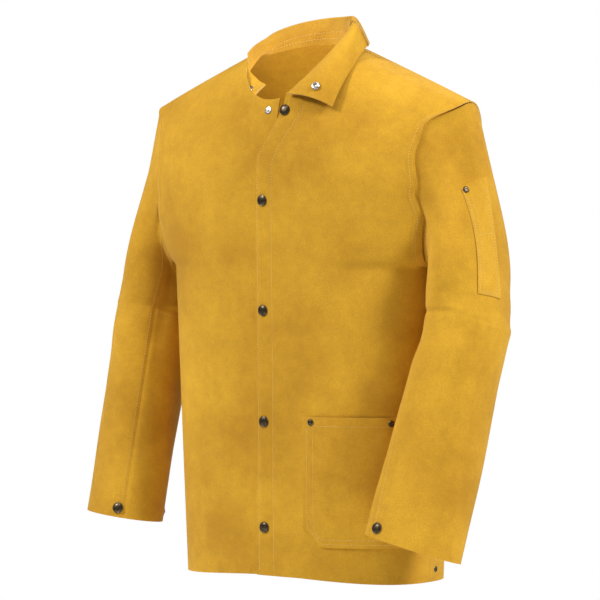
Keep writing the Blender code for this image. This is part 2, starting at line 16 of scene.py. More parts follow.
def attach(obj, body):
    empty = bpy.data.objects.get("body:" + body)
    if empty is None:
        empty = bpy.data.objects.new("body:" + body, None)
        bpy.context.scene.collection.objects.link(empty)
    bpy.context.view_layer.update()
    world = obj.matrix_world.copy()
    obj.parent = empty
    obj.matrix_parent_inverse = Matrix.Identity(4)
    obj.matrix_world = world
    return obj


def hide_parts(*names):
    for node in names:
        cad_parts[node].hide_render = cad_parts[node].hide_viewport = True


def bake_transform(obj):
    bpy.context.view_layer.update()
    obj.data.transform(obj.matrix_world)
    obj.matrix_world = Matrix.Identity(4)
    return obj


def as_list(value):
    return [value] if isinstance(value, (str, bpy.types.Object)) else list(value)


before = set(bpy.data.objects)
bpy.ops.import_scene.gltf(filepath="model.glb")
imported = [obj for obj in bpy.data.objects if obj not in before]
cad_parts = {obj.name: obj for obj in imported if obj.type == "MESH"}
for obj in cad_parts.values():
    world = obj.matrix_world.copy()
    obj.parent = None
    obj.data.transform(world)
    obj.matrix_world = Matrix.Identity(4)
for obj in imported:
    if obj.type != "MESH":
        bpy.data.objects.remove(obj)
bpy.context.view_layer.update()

# %% [markdown]
# ## The jacket's form
#
# A hanging jacket is a closed body section that narrows a little to the hem and arches over
# into the shoulders. One formula for its depth at any height and width gives every panel the
# same form, so that neighbours meet at their seams. The numbers are the pattern's own
# measurements, in metres, with the neck points at the origin.

# %% Pattern measurements
LEATHER = 0.0014
LINING = 0.0010
GAP = 0.0004
HEM_Z = -0.724
ARMPIT_Z = -0.295
SHOULDER_TIP = Vector((0.256, 0.0, -0.074))
NECK_HALF = 0.078
NECK_FRONT_Z = -0.070
NECK_BACK_Z = 0.013
NECK_ROUND = 0.03
HEM_RISE = 0.008
CHEST_HALF = 0.211
HEM_HALF = 0.191
FRONT_DEPTH = 0.118
BACK_DEPTH = 0.115
HEM_DEPTH = 0.110
SNAP_Z = [-0.085, -0.207, -0.356, -0.507, -0.651]
LAP_LIFT = 0.0060
LEFT_EDGE = -0.014
RIGHT_EDGE = 0.016
FOLD_TOP = 0.062
FOLD_BOTTOM = 0.056
ROLL_START_Z = -0.165
ROLL_OUT = 0.044
UNDONE_X = 0.032
TOP_SLACK = 0.0012
SEAM_HALF = 0.0001
PLACKET_ROWS = (0.0045, 0.029)
SEAM_INSET = 0.006


def mix(a, b, t):
    return a + (b - a) * t


def smooth(t):
    t = min(1.0, max(0.0, t))
    return t * t * (3.0 - 2.0 * t)


def bump(distance, width):
    """1 at the middle of a soft hump and 0 far from it."""
    return exp(-(distance / width) ** 2)


def along(points, t):
    """Value at t on a smooth line through (t, value) pairs."""
    for (t0, a), (t1, b) in zip(points, points[1:]):
        if t <= t1:
            return mix(a, b, smooth((t - t0) / (t1 - t0)))
    return points[-1][1]


print("shoulder slope:", round(-SHOULDER_TIP.z / (SHOULDER_TIP.x - NECK_HALF), 3))


# %% Body section, shoulders and neckline
def edge_x(z):
    """Side seam below the armpit, armhole edge above it."""
    if z <= ARMPIT_Z:
        return mix(HEM_HALF, CHEST_HALF, (z - HEM_Z) / (ARMPIT_Z - HEM_Z))
    rise = min(1.0, (z - ARMPIT_Z) / (SHOULDER_TIP.z - ARMPIT_Z))
    return mix(CHEST_HALF, SHOULDER_TIP.x, rise)


SCOOP = [(-0.295, 0.0), (-0.235, 0.002), (-0.193, 0.016), (-0.138, 0.029), (-0.105, 0.029),
         (-0.074, 0.0)]


def front_edge_x(z):
    """The armhole is cut deeper into the fronts than into the back."""
    return edge_x(z) - along(SCOOP, min(-0.074, max(ARMPIT_Z, z)))


def section_half(z):
    """Half width of the closed body section."""
    if z <= ARMPIT_Z:
        return edge_x(z)
    rise = min(1.0, (z - ARMPIT_Z) / (SHOULDER_TIP.z - ARMPIT_Z))
    return CHEST_HALF + 0.062 * rise ** 0.55


def ridge_z(x):
    """Height of the shoulder line, rounded over between the neck points."""
    slope = -SHOULDER_TIP.z / (SHOULDER_TIP.x - NECK_HALF)
    if abs(x) >= NECK_HALF:
        return -slope * (abs(x) - NECK_HALF)
    return slope * (sqrt(NECK_HALF ** 2 + NECK_ROUND ** 2) - sqrt(x * x + NECK_ROUND ** 2))


def drape(x, z, side):
    """Soft unevenness of the hanging leather, none at the seams."""
    across = min(1.0, abs(x) / section_half(z))
    fade = (1.0 - across ** 6) * smooth((ridge_z(x) - z) / 0.05)
    slow = noise.noise(Vector((x * 5.5, side * 3.0, z * 4.0)))
    quick = noise.noise(Vector((x * 17.0, side * 9.0, z * 11.0)))
    return fade * (0.0016 * slow + 0.0005 * quick)


def body_y(x, z, side):
    """Depth of the body's surface: side -1 is the front and +1 the back."""
    half = section_half(z)
    across = min(1.0, abs(x) / half)
    rise = min(1.0, (z - HEM_Z) / (-0.15 - HEM_Z))
    full = mix(HEM_DEPTH, FRONT_DEPTH, rise) if side < 0 else BACK_DEPTH
    power = 2.5
    depth = full * (1.0 - across ** power) ** (1.0 / power)
    arch = 0.20 if side < 0 else 0.17
    t = min(1.0, max(0.0, (ridge_z(x) - z) / arch))
    return side * (depth * (1.0 - (1.0 - t) ** 2.3) ** (1.0 / 2.3) + drape(x, z, side))


def top_z(x, side):
    """Upper edge of a panel: shoulder seam, then neckline."""
    x = abs(x)
    if x >= NECK_HALF:
        return ridge_z(x)
    low = NECK_FRONT_Z if side < 0 else NECK_BACK_Z
    return mix(low, 0.0, (x / NECK_HALF) ** 2.2)


def hem_z(x):
    return HEM_Z + HEM_RISE * (1.0 - smooth(abs(x) / SHOULDER_TIP.x))


def rows_up(v):
    """Rows of a panel get closer towards the shoulder."""
    return 1.0 - (1.0 - v) ** 1.4


def across_top(u, start, neck_share):
    """x on the top edge: neck_share of the columns up to the neck point, the rest to the side."""
    if u < neck_share:
        return mix(start, NECK_HALF, u / neck_share)
    beyond = (u - neck_share) / (1.0 - neck_share)
    return mix(NECK_HALF, SHOULDER_TIP.x, 1.0 - (1.0 - beyond) ** 1.7)


print("chest depth:", round(body_y(0.0, -0.3, 1) - body_y(0.0, -0.3, -1), 3))

# %% [markdown]
# ## Suede
#
# Split leather has no smooth grain side. Its nap is short and matt, it takes the dye
# unevenly, and brushed patches look lighter or darker. Noise at three scales does that: a slow
# one for the clouding, a middle one for brushed patches and a very fine one for the fibres,
# which also drives the bump. Each piece keeps the places of its points at rest in an attribute
# named "rest", and the noise reads that, so the pattern bends with the leather.


# %% Suede material
def ramp(nodes, low, high, start, end):
    made = nodes.new("ShaderNodeValToRGB")
    made.color_ramp.elements[0].position = start
    made.color_ramp.elements[0].color = (*low, 1.0)
    made.color_ramp.elements[1].position = end
    made.color_ramp.elements[1].color = (*high, 1.0)
    return made


def fine_noise(tree, place, scale, detail, rough=0.55):
    made = tree.nodes.new("ShaderNodeTexNoise")
    made.inputs["Scale"].default_value = scale
    made.inputs["Detail"].default_value = detail
    made.inputs["Roughness"].default_value = rough
    tree.links.new(place, made.inputs["Vector"])
    return made.outputs["Fac"]


def suede(name, dark, light, clouding=7.0, nap=0.35):
    coat = bpy.data.materials.new(name)
    coat.use_nodes = True
    tree = coat.node_tree
    nodes, links = tree.nodes, tree.links
    shader = nodes["Principled BSDF"]
    rest = nodes.new("ShaderNodeAttribute")
    rest.attribute_name = "rest"
    place = rest.outputs["Vector"]
    clouds = fine_noise(tree, place, clouding, 4.0, 0.6)
    patches = fine_noise(tree, place, 75.0, 5.0, 0.65)
    fibres = fine_noise(tree, place, 620.0, 6.0, 0.7)
    blend = nodes.new("ShaderNodeMath")
    blend.operation = "MULTIPLY_ADD"
    blend.inputs[1].default_value = 0.34
    links.new(patches, blend.inputs[0])
    links.new(clouds, blend.inputs[2])
    tint = ramp(nodes, dark, light, 0.48, 0.92)
    links.new(blend.outputs["Value"], tint.inputs["Fac"])
    grain = ramp(nodes, (0.80, 0.78, 0.74), (1.12, 1.12, 1.10), 0.30, 0.72)
    links.new(fibres, grain.inputs["Fac"])
    colour = nodes.new("ShaderNodeMix")
    colour.data_type = "RGBA"
    colour.blend_type = "MULTIPLY"
    colour.inputs["Factor"].default_value = 1.0
    links.new(tint.outputs["Color"], colour.inputs["A"])
    links.new(grain.outputs["Color"], colour.inputs["B"])
    links.new(colour.outputs["Result"], shader.inputs["Base Color"])
    rough = ramp(nodes, (0.82,) * 3, (0.97,) * 3, 0.3, 0.7)
    links.new(patches, rough.inputs["Fac"])
    links.new(rough.outputs["Color"], shader.inputs["Roughness"])
    raised = nodes.new("ShaderNodeBump")
    raised.inputs["Strength"].default_value = nap
    raised.inputs["Distance"].default_value = 0.0006
    links.new(fibres, raised.inputs["Height"])
    soft = nodes.new("ShaderNodeBump")
    soft.inputs["Strength"].default_value = 0.25
    soft.inputs["Distance"].default_value = 0.0015
    links.new(patches, soft.inputs["Height"])
    links.new(raised.outputs["Normal"], soft.inputs["Normal"])
    links.new(soft.outputs["Normal"], shader.inputs["Normal"])
    shader.inputs["Sheen Weight"].default_value = 0.18
    shader.inputs["Sheen Roughness"].default_value = 0.55
    shader.inputs["Sheen Tint"].default_value = (1.0, 0.76, 0.28, 1.0)
    shader.inputs["Specular IOR Level"].default_value = 0.18
    return coat


gold = suede("gold_suede", (0.50, 0.245, 0.015), (0.73, 0.405, 0.028))
gold_sleeve = suede("sleeve_suede", (0.50, 0.245, 0.015), (0.72, 0.395, 0.028), 9.0)
gold_patch = suede("pocket_suede", (0.56, 0.280, 0.018), (0.75, 0.420, 0.032), 11.0)
gold_under = suede("inner_suede", (0.50, 0.245, 0.022), (0.66, 0.360, 0.036), 8.0)
cut_edge = suede("cut_edge", (0.62, 0.37, 0.075), (0.80, 0.53, 0.16), 30.0, 0.2)
print("leather materials:", len([m for m in bpy.data.materials if "suede" in m.name]))

# %% [markdown]
# ## Laying a panel
#
# A panel is a flat piece of hide. Here it starts as a flat grid of unit size, each of its
# points is laid on the form, and Solidify grows the wall inwards, as the hide lies inside the
# surface that we see. A second material slot colours the cut edge, which shows paler fibres.


# %% Grid, wall and rest places
def settle(piece):
    """Turns a piece's modifiers into its own mesh."""
    graph = bpy.context.evaluated_depsgraph_get()
    made = bpy.data.meshes.new_from_object(piece.evaluated_get(graph))
    piece.modifiers.clear()
    piece.data = made


def piece_from(name, shape, coats):
    mesh = bpy.data.meshes.new(name)
    shape.to_mesh(mesh)
    shape.free()
    for coat in coats:
        mesh.materials.append(coat)
    piece = bpy.data.objects.new(name, mesh)
    bpy.context.scene.collection.objects.link(piece)
    return piece


def keep_rest(mesh):
    rest = mesh.attributes.new("rest", "FLOAT_VECTOR", "POINT")
    rest.data.foreach_set("vector", [c for vert in mesh.vertices for c in vert.co])


def panel(name, columns, rows, form, thickness, coat, flip=False):
    """A panel of leather laid on form(u, v)."""
    shape = bmesh.new()
    bmesh.ops.create_grid(shape, x_segments=columns, y_segments=rows, size=0.5)
    for vert in shape.verts:
        vert.co = form(vert.co.x + 0.5, vert.co.y + 0.5)
    if flip:
        bmesh.ops.reverse_faces(shape, faces=shape.faces)
    piece = piece_from(name, shape, [coat, cut_edge])
    keep_rest(piece.data)
    wall = piece.modifiers.new("wall", "SOLIDIFY")
    wall.thickness = thickness
    wall.offset = -1.0
    wall.material_offset_rim = 1
    settle(piece)
    piece.data.shade_smooth()
    piece.data.set_sharp_from_angle(angle=radians(50))
    print(name, len(piece.data.polygons), "faces")
    return piece


def offset_form(form, distance):
    """The form moved along its own normal."""
    step = 1e-3

    def moved(u, v):
        u0, u1 = max(0.0, u - step), min(1.0, u + step)
        v0, v1 = max(0.0, v - step), min(1.0, v + step)
        across = form(u1, v) - form(u0, v)
        up = form(u, v1) - form(u, v0)
        return form(u, v) + across.cross(up).normalized() * distance
    return moved


# %% [markdown]
# ## Torso panels
#
# The body is a back and two fronts. The left front overlaps the right and is pressed flat by
# the snaps, except at the top, where its edge rolls open. Around each snap the leather is
# pulled in a little. At the armholes the body's edge stands proud of the sleeve, because the
# seam allowance is folded under it and stitched down.


# %% Surfaces of the two fronts and the back
def left_start(z):
    """Edge of the left front: straight up to the roll, then swung open."""
    return LEFT_EDGE + ROLL_OUT * smooth((z - ROLL_START_Z) / (NECK_FRONT_Z - ROLL_START_Z))


def fold_x(z):
    return mix(FOLD_BOTTOM, FOLD_TOP, (z - HEM_Z) / (NECK_FRONT_Z - HEM_Z))


def lap_lift(x, z):
    """How far the left front stands forward of the form."""
    near = 1.0 - smooth((x - 0.07) / 0.09)
    roll = smooth((z - ROLL_START_Z) / (NECK_FRONT_Z - ROLL_START_Z))
    edge = 1.0 - smooth((x - left_start(z)) / 0.05)
    tucked = 0.0016 * smooth((-0.003 - x) / 0.010) * (1.0 - roll)
    return LAP_LIFT * near + 0.003 * roll * edge - tucked


def pulled_in(x, z):
    """Dimples at the snaps."""
    total = 0.0
    for number, snap_z in enumerate(SNAP_Z):
        snap_x = UNDONE_X if number == 0 else 0.0
        total += 0.0007 * bump(sqrt((x - snap_x) ** 2 + (z - snap_z) ** 2), 0.012)
    return total


def seam_relief(x, z, side):
    """Raised edge at the armhole and the groove of its stitching."""
    if z < ARMPIT_Z:
        return 0.0
    inside = (front_edge_x(z) if side < 0 else edge_x(z)) - abs(x)
    raised = 0.0014 * (1.0 - smooth((inside - 0.007) / 0.003))
    return raised - 0.0005 * bump(inside - SEAM_INSET, 0.0018)


def placket_relief(x, z):
    """Shallow grooves under the placket's two rows of stitches."""
    start = left_start(z)
    return 0.0004 * sum(bump(x - start - row, 0.0018) for row in PLACKET_ROWS)


def left_surface(x, z):
    out = lap_lift(x, z) + seam_relief(x, z, -1) - pulled_in(x, z) - placket_relief(x, z)
    return Vector((x, body_y(x, z, -1) - out - SEAM_HALF, z))


def right_surface(x, z):
    return Vector((x, body_y(x, z, -1) - SEAM_HALF - seam_relief(x, z, -1), z))


def back_surface(x, z):
    return Vector((x, body_y(x, z, 1) + SEAM_HALF + seam_relief(x, z, 1), z))


def surface_point(x_top, v, side, top_start, start):
    """A point of a panel whose column meets the top edge at x_top."""
    z = mix(hem_z(x_top) if side < 0 else HEM_Z, top_z(x_top, side), rows_up(v))
    share = (x_top - top_start) / (SHOULDER_TIP.x - top_start)
    scoop = edge_x(z) - front_edge_x(z) if side < 0 else 0.0
    return mix(start(z), edge_x(z), share) - scoop * share ** 4, z


def flap_point(u, v):
    """Left front between its edge and the fold line."""
    top_x = mix(left_start(NECK_FRONT_Z), FOLD_TOP, u)
    z = mix(hem_z(top_x), top_z(top_x, -1), rows_up(v))
    return left_surface(mix(left_start(z), fold_x(z), u), z)


def left_point(u, v):
    """The whole left front, from its edge over the fold line to the side."""
    if u < 0.28:
        return flap_point(u / 0.28, v)
    x_top = across_top((u - 0.28) / 0.72, FOLD_TOP, 0.12)
    return left_surface(*surface_point(x_top, v, -1, FOLD_TOP, fold_x))


def right_point(u, v):
    x, z = surface_point(across_top(u, -RIGHT_EDGE, 0.45), v, -1, -RIGHT_EDGE,
                         lambda z: -RIGHT_EDGE)
    return right_surface(-x, z)


def back_point(u, v):
    half = abs(2.0 * u - 1.0)
    x, z = surface_point(across_top(half, 0.0, 0.4), v, 1, 0.0, lambda z: 0.0)
    return back_surface(x if u > 0.5 else -x, z)


# %% Back, right front and left front
back = panel("back", 120, 120, back_point, LEATHER, gold, True)
right_front = panel("right_front", 84, 130, right_point, LEATHER, gold, True)
left_front = panel("left_front", 110, 150, left_point, LEATHER, gold)


# %% Facings behind the snaps
def facing_form(form, u0, u1, depth):
    return offset_form(lambda u, v: form(mix(u0, u1, u), mix(0.004, 0.985, v)), depth)


BEHIND = LEATHER + 2 * GAP
left_facing = panel("left_facing", 10, 110, facing_form(flap_point, 0.01, 0.5, -BEHIND),
                    LINING, gold_under)
right_facing = panel("right_facing", 10, 110, facing_form(right_point, 0.01, 0.16, BEHIND),
                     LINING, gold_under, True)

# %% [markdown]
# ## Hip pocket
#
# The hip pocket is a patch on the left front, with one lower corner cut off and two rows of
# stitches. It is laid on the same surface as the front, one layer further out.

# %% Hip pocket patch
POCKET_LEFT = 0.063
POCKET_RIGHT = 0.187
PATCH_LIFT = 0.0011 + LINING
POCKET_TOP = -0.498
POCKET_BOTTOM = -0.674


def hip_pocket_point(u, v):
    x = mix(POCKET_LEFT, POCKET_RIGHT, u ** 0.8)
    low = mix(POCKET_BOTTOM + 0.022, POCKET_BOTTOM, smooth(u / 0.16))
    return left_surface(x, mix(low, POCKET_TOP, v))


def pocket_lift(u, v):
    """A sewn patch is flat on its edges and stands off a little in the middle."""
    middle = smooth(u / 0.2) * smooth((1.0 - u) / 0.2) * smooth(v / 0.2)
    normal_out = offset_form(hip_pocket_point, PATCH_LIFT - 0.0006 + 0.0018 * middle)
    return normal_out(u, v)


hip_pocket = panel("hip_pocket_patch", 56, 64, pocket_lift, LINING + 0.0004, gold_patch)

# %% [markdown]
# ## Collar
#
# The collar stands up from the neckline and folds outwards and down. Its left end lies folded
# right out, with the inside of its snap up, and its right end nearly stands. It is two layers
# of leather sewn back to back, so both layers are laid from one form, a layer apart. The
# folded-out end is its own piece, because it lifts at its fold.

# %% Collar measurements
COLLAR_BULGE = 0.009
COLLAR_LAYER = LINING + 0.0003
COLLAR_SPLIT = 0.50
STAND_END = 0.72
COLLAR_RIGHT_END = 0.88


def neck_point(a):
    """Neckline: a is 0 at the back, +-0.5 at the neck points and +-1 at the front."""
    x = NECK_HALF * sin(pi * a)
    side = 1 if abs(a) < 0.5 else -1
    z = top_z(x, side)
    forward = lap_lift(x, z) if x > 0.0 and side < 0 else 0.0
    return Vector((x, body_y(x, z, side) - forward, z))


def collar_out(a):
    return Vector((sin(pi * a), cos(pi * a), 0.0))


# %% Lines of the collar, from the right end round the back to the left neck point
FOLD = [(-0.0260, -0.0980, -0.0550), (-0.0460, -0.0850, -0.0400), (-0.0625, -0.0610, -0.0190),
        (-0.0730, -0.0280, 0.0000), (-0.0725, -0.0060, 0.0130), (-0.0675, 0.0060, 0.0220),
        (-0.0570, 0.0165, 0.0290), (-0.0410, 0.0280, 0.0355), (-0.0215, 0.0380, 0.0400),
        (0.0000, 0.0425, 0.0425), (0.0215, 0.0375, 0.0430), (0.0395, 0.0260, 0.0430),
        (0.0530, 0.0120, 0.0425), (0.0650, -0.0020, 0.0405), (0.0724, -0.0120, 0.0365)]
STANDING = [(-0.0200, -0.0850, -0.0490), (-0.0420, -0.0730, -0.0420),
            (-0.0615, -0.0610, -0.0270), (-0.0735, -0.0300, -0.0030)]
FOLD_START = -0.9
STANDING_FROM = -0.78
STANDING_TO = -0.62
RIDGE = [(0.0724, -0.012, 0.0365), (0.0738, -0.030, 0.0200), (0.0725, -0.048, 0.0065),
         (0.0670, -0.066, -0.0105), (0.0585, -0.088, -0.0310), (0.0470, -0.103, -0.0475),
         (0.0360, -0.114, -0.0625)]
OUTER = [(0.0918, -0.004, 0.0030), (0.0985, -0.026, -0.0050), (0.1040, -0.050, -0.0200),
         (0.1070, -0.076, -0.0400), (0.1070, -0.094, -0.0600), (0.1045, -0.106, -0.0810)]


def curve(points, t):
    """A smooth curve through points, t from 0 to 1."""
    spot = t * (len(points) - 1)
    k = min(len(points) - 2, int(spot))
    near = [Vector(points[min(len(points) - 1, max(0, k + step))]) for step in (-1, 0, 1, 2)]
    s = spot - k
    return 0.5 * ((2 * near[1]) + (near[2] - near[0]) * s
                  + (2 * near[0] - 5 * near[1] + 4 * near[2] - near[3]) * s ** 2
                  + (3 * near[1] - near[0] - 3 * near[2] + near[3]) * s ** 3)


def collar_end_point(u, v):
    """u runs from the shoulder to the front end, v from the fold to the outer edge."""
    arch = COLLAR_BULGE * (sin(pi * v) + 0.35 * sin(pi * v) ** 0.5) * mix(1.0, 0.6, u)
    inner = curve(RIDGE, u)
    return inner.lerp(curve(OUTER, u), v) + Vector((0.35, -0.7, 0.6)).normalized() * arch


STAND_SHARE = 0.34
END_START = 0.30
ROLL = 0.010


def collar_base(a):
    """Where the collar is sewn on: a little below the neckline, lower at the right end."""
    low = smooth((-a - 0.60) / 0.18)
    base = neck_point(a) + collar_out(a) * mix(-0.0012, 0.0055, low)
    base.z -= mix(0.0035, 0.0135, low)
    return base


def fall_edge(a):
    """Lower edge of the part that is turned down."""
    stand_off = along([(-0.9, 0.001), (-0.62, 0.002), (-0.35, 0.0105), (1.0, 0.0125)], a)
    edge = neck_point(a) + collar_out(a) * stand_off + Vector((0.0, 0.0, 0.005))
    return edge.lerp(Vector(OUTER[0]), smooth((a - END_START) / (COLLAR_SPLIT - END_START)))


def turned_down(a, v):
    """Stand and fall of the turned-down part, rounded at the fold."""
    base = collar_base(a)
    fold = curve(FOLD, (a - FOLD_START) / (COLLAR_SPLIT - FOLD_START))
    ending = smooth((a - END_START) / (COLLAR_SPLIT - END_START))
    lean = (collar_out(a) * 0.6 + Vector((0.0, 0.0, 0.8))).normalized()
    if v < STAND_SHARE:
        s = v / STAND_SHARE
        control = fold - lean * ROLL
        return base * (1 - s) ** 2 + control * (2 * s * (1 - s)) + fold * s * s
    s = (v - STAND_SHARE) / (1 - STAND_SHARE)
    control = fold + lean * ROLL
    folded = fold * (1 - s) ** 2 + control * (2 * s * (1 - s)) + fall_edge(a) * s * s
    if ending <= 0.0:
        return folded
    return folded.lerp(collar_end_point(0.0, s) + fold - Vector(RIDGE[0]), ending)


def standing(a, v):
    """The right end, which is not turned down."""
    top = curve(STANDING, (a - FOLD_START) / 0.3)
    point = collar_base(a).lerp(top, v)
    return point + collar_out(a) * (0.0045 * sin(pi * v))


def collar_band(u, v):
    a = mix(-COLLAR_RIGHT_END, COLLAR_SPLIT, u)
    if a <= STANDING_FROM:
        return standing(a, v)
    if a >= STANDING_TO:
        return turned_down(a, v)
    share = smooth((a - STANDING_FROM) / (STANDING_TO - STANDING_FROM))
    return standing(a, v).lerp(turned_down(a, v), share)


def left_stand_point(u, v):
    a = mix(COLLAR_SPLIT, STAND_END, u)
    ridge = curve(RIDGE, mix(0.0, 0.66, u))
    return neck_point(a).lerp(ridge, mix(-0.2, 0.97, v))


# %% Collar pieces
collar_under = panel("collar_under", 130, 30, collar_band, LINING, gold, True)
collar_top = panel("collar_top", 130, 30, offset_form(collar_band, COLLAR_LAYER), LINING,
                   gold_under, True)
left_stand = panel("left_collar_stand", 24, 12, left_stand_point, LINING, gold_under, True)
end_top = panel("collar_end_top", 44, 30, collar_end_point, LINING, gold)
end_under = panel("collar_end_under", 44, 30, offset_form(collar_end_point, -COLLAR_LAYER),
                  LINING, gold_under)

# %% [markdown]
# ## Sleeves
#
# Each sleeve is two long panels: the top sleeve round the outside of the arm, and the narrow
# under sleeve on the inside, with a seam across it at the elbow. Hung on its own, a heavy
# leather sleeve keeps the bend of an arm, and folds where it leaves the armhole. The two
# sleeves hang differently, so each has its own line from biceps to cuff.

# %% Sleeve measurements
ARMHOLE_GAP = 0.0003
TUCK = 0.0022
ARM_CLEARANCE = 0.0045
SEAM_ANGLE = radians(125)
SLEEVE_HEAD = 0.62
POSES = {
    "left": {"hand": 1.0, "biceps": Vector((0.262, -0.014, -0.315)),
             "elbow": Vector((0.267, -0.024, -0.374)), "cuff": Vector((0.234, -0.106, -0.668)),
             "opening": Vector((-0.230, -0.198, -0.953)), "cuff_short": 0.046},
    "right": {"hand": -1.0, "biceps": Vector((0.262, 0.004, -0.315)),
              "elbow": Vector((0.270, -0.006, -0.370)), "cuff": Vector((0.274, -0.074, -0.652)),
              "opening": Vector((0.103, -0.109, -0.989)), "cuff_short": 0.053},
}


def armhole_plane(theta):
    """theta is 0 at the shoulder tip, 90 degrees at the front and 180 at the armpit."""
    z = mix(SHOULDER_TIP.z, ARMPIT_Z, (1.0 - cos(theta)) / 2.0)
    x = edge_x(z)
    return Vector((x + ARMHOLE_GAP, body_y(x, z, -1 if sin(theta) > 0.0 else 1), z))


def armhole_point(theta):
    """The seam itself, tucked under the body's edge, deeper on the front."""
    if sin(theta) > 0.0:
        z = mix(SHOULDER_TIP.z, ARMPIT_Z, (1.0 - cos(theta)) / 2.0)
        x = front_edge_x(z)
        place = Vector((x + ARMHOLE_GAP, body_y(x, z, -1), z))
    else:
        place = armhole_plane(theta)
    middle = Vector((place.x, 0.0, mix(SHOULDER_TIP.z, ARMPIT_Z, 0.5)))
    return place + (middle - place).normalized() * TUCK


def ring_radius(theta, long, short, turn):
    c, s = cos(theta - turn), sin(theta - turn)
    return 1.0 / sqrt((c / long) ** 2 + (s / short) ** 2)


def sleeve_folds(pose, share, theta):
    """Creases of a hung sleeve: share is 0 at the biceps, 1 at the elbow and 2 at the cuff."""
    hand = pose["hand"]
    elbow = bump(share - 1.0, 0.30)
    crease = noise.noise(Vector((theta * 1.6, share * 7.0 + hand * 5.0, 3.0)))
    slow = noise.noise(Vector((theta * 1.1, share * 2.2, hand * 4.0)))
    inside = max(0.0, -cos(theta))
    behind_seam = theta - SEAM_ANGLE
    sunk = bump(behind_seam - 0.22, 0.24) * (1.0 - smooth((share - 0.2) / 1.5))
    hollow = 0.0090 * sunk * (1.0 if hand < 0.0 else 0.45)
    return 0.0022 * slow + 0.0034 * elbow * crease * (0.4 + inside) - hollow


def sleeve_ring(pose, share, theta):
    """Ring of the sleeve tube: share is 0 at the biceps, 1 at the elbow and 2 at the cuff."""
    biceps, elbow, cuff = pose["biceps"], pose["elbow"], pose["cuff"]
    if share <= 1.0:
        centre = biceps.lerp(elbow, share)
        down = (elbow - biceps).normalized().lerp((cuff - biceps).normalized(), share)
    else:
        centre = elbow.lerp(cuff, share - 1.0)
        down = (cuff - biceps).normalized().lerp(pose["opening"], smooth(share - 1.0))
    down.normalize()
    front = Vector((0.0, -1.0, 0.0))
    front = (front - down * front.dot(down)).normalized()
    out = down.cross(front)
    if out.x < 0.0:
        out.negate()
    long = along([(0.0, 0.074), (1.0, 0.067), (2.0, 0.067)], share)
    short = along([(0.0, 0.047), (1.0, 0.053), (2.0, pose["cuff_short"])], share)
    turn = along([(0.0, pi / 2), (1.0, radians(97)), (2.0, radians(140))], share)
    radius = ring_radius(theta, long, short, turn)
    radius += sleeve_folds(pose, share, theta) * smooth((2.0 - share) / 0.25)
    seam = min(abs(theta - SEAM_ANGLE), abs(theta + SEAM_ANGLE), abs(theta - 2 * pi + SEAM_ANGLE))
    radius -= 0.0012 * bump(seam, radians(2.2))
    return centre + out * (radius * cos(theta)) + front * (radius * sin(theta))


# %% Sleeve surface from armhole to cuff
def clear_of_body(point):
    """Where the arm lies against the body, the leather stays outside the side of it."""
    depth = FRONT_DEPTH if point.y < 0.0 else BACK_DEPTH
    across = min(1.0, abs(point.y) / depth)
    body = edge_x(min(point.z, ARMPIT_Z)) * (1.0 - across ** 2.5) ** 0.4
    upper = smooth((point.z + 0.50) / 0.10)
    least = max(body, mix(0.0, CHEST_HALF + 0.001, upper)) + ARM_CLEARANCE
    if point.z < ARMPIT_Z and point.x < least:
        point.x = least
    return point


def upper_point(pose, theta, t):
    """Sleeve head from the armhole into the tube: t is 0 at the armhole and 1 at the elbow."""
    if t >= SLEEVE_HEAD:
        return sleeve_ring(pose, (t - SLEEVE_HEAD) / (1.0 - SLEEVE_HEAD), theta)
    t = t / SLEEVE_HEAD
    start = armhole_plane(theta)
    finish = sleeve_ring(pose, 0.0, theta)
    later = sleeve_ring(pose, 0.12, theta)
    span = (finish - start).length
    high = (1.0 + cos(theta)) / 2.0
    leave = Vector((mix(0.25, 0.22, high), 0.0, mix(-0.95, -0.97, high))).normalized()
    arrive = (later - finish).normalized()
    c1 = start + leave * span * 0.33
    c2 = finish - arrive * span * 0.36
    s = 1.0 - t
    start = armhole_point(theta)
    return start * s ** 3 + c1 * (3 * s * s * t) + c2 * (3 * s * t * t) + finish * t ** 3


def upper_form(pose, first, last):
    def form(u, v):
        point = clear_of_body(upper_point(pose, mix(first, last, u), v))
        return Vector((pose["hand"] * point.x, point.y, point.z))
    return form


def lower_form(pose, first, last):
    def form(u, v):
        point = clear_of_body(sleeve_ring(pose, 1.0 + v, mix(first, last, u)))
        return Vector((pose["hand"] * point.x, point.y, point.z))
    return form


TOP = (-SEAM_ANGLE, SEAM_ANGLE)
UNDER = (SEAM_ANGLE, 2 * pi - SEAM_ANGLE)

# %% Four panels for each arm
sleeves = {}
for side, pose in POSES.items():
    turned_in = pose["hand"] < 0
    for part, range_, columns in (("top", TOP, 84), ("under", UNDER, 40)):
        for half, form, rows in (("upper", upper_form, 76), ("lower", lower_form, 70)):
            sleeves[side, part, half] = panel(f"{side}_{part}_{half}_sleeve", columns, rows,
                                              form(pose, *range_), LEATHER, gold_sleeve,
                                              turned_in)

# %% [markdown]
# ## Pen pocket
#
# A narrow patch on the outside of the left upper sleeve holds pens and chalk.

# %% Pen pocket patch
PEN_FRONT = radians(45)
PEN_BACK = radians(-2)
PEN_TOP = 0.27
PEN_BOTTOM = 0.77


def pen_surface(u, v):
    return upper_form(POSES["left"], PEN_FRONT, PEN_BACK)(u, mix(PEN_TOP, PEN_BOTTOM, v))


pen_form = offset_form(pen_surface, -PATCH_LIFT + 0.0005)
pen_pocket = panel("pen_pocket_patch", 30, 60, pen_form, LINING + 0.0003, gold_patch, True)

# %% [markdown]
# ## Stitches
#
# The jacket is sewn with thick pale thread, in single and double rows. Each stitch is a small
# capsule of 24 faces on the leather, laid along a path on the panel's form. One mesh holds all
# stitches of a row.


